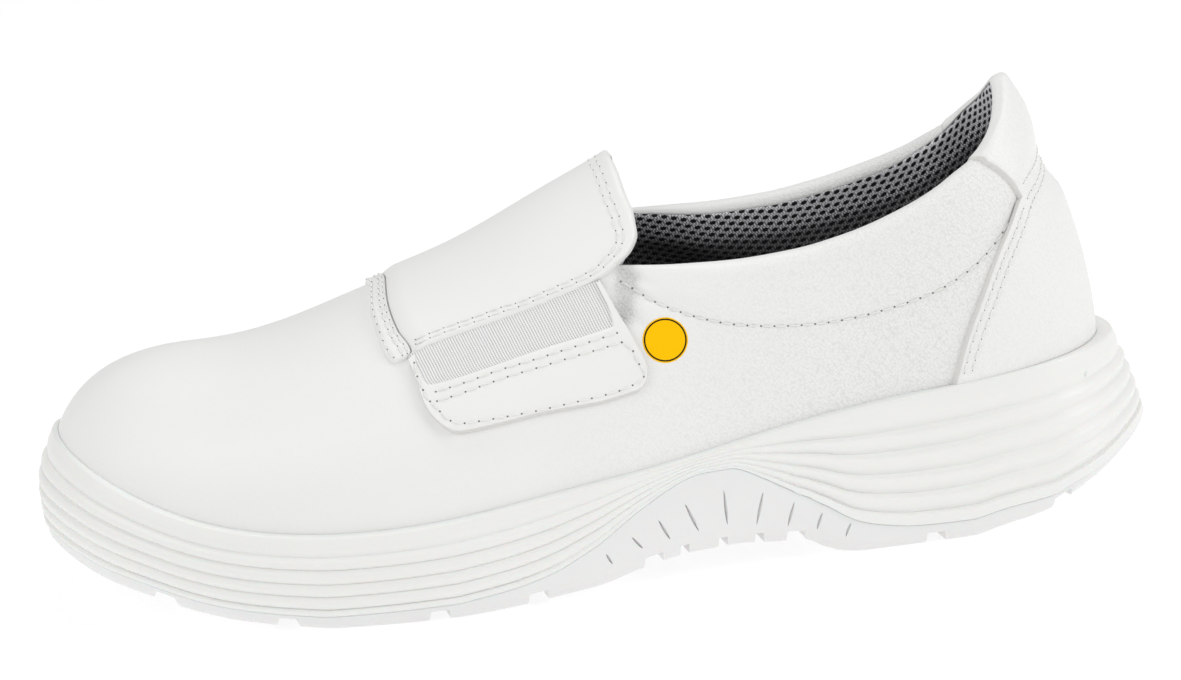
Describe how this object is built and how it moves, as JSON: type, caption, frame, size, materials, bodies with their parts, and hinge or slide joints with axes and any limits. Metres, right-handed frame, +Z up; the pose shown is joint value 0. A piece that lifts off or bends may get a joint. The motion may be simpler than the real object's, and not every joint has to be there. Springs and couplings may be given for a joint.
{
  "type": "safety slip-on shoe",
  "caption": "White low slip-on work shoe, left foot: padded collar, turned-over heel tab, instep flap over side elastic, thick foamed sole with lugs and a heel.",
  "frame": {"origin": "on the floor plane, under the middle of the shoe's plan outline", "axes": "+X from toe to heel, +Z up, the outer (lateral) side of the foot at -Y"},
  "size_m": [0.2998, 0.1102, 0.1168],
  "materials": {
    "white_leather": "satin",
    "elastic": "matte",
    "insole_textile": "matte",
    "midsole_pu": "satin",
    "outsole_pu": "satin"
  },
  "bodies": {
    "root": {"outsole": "outsole_pu", "midsole": "midsole_pu", "insole": "insole_textile", "upper": "white_leather", "vamp_hem": "white_leather", "instep_flap": "white_leather", "heel_counter": "white_leather", "heel_tab": "white_leather", "gore_lateral": "elastic", "gore_medial": "elastic", "patch_lateral": "white_leather", "patch_medial": "white_leather"}
  },
  "joints": []
}
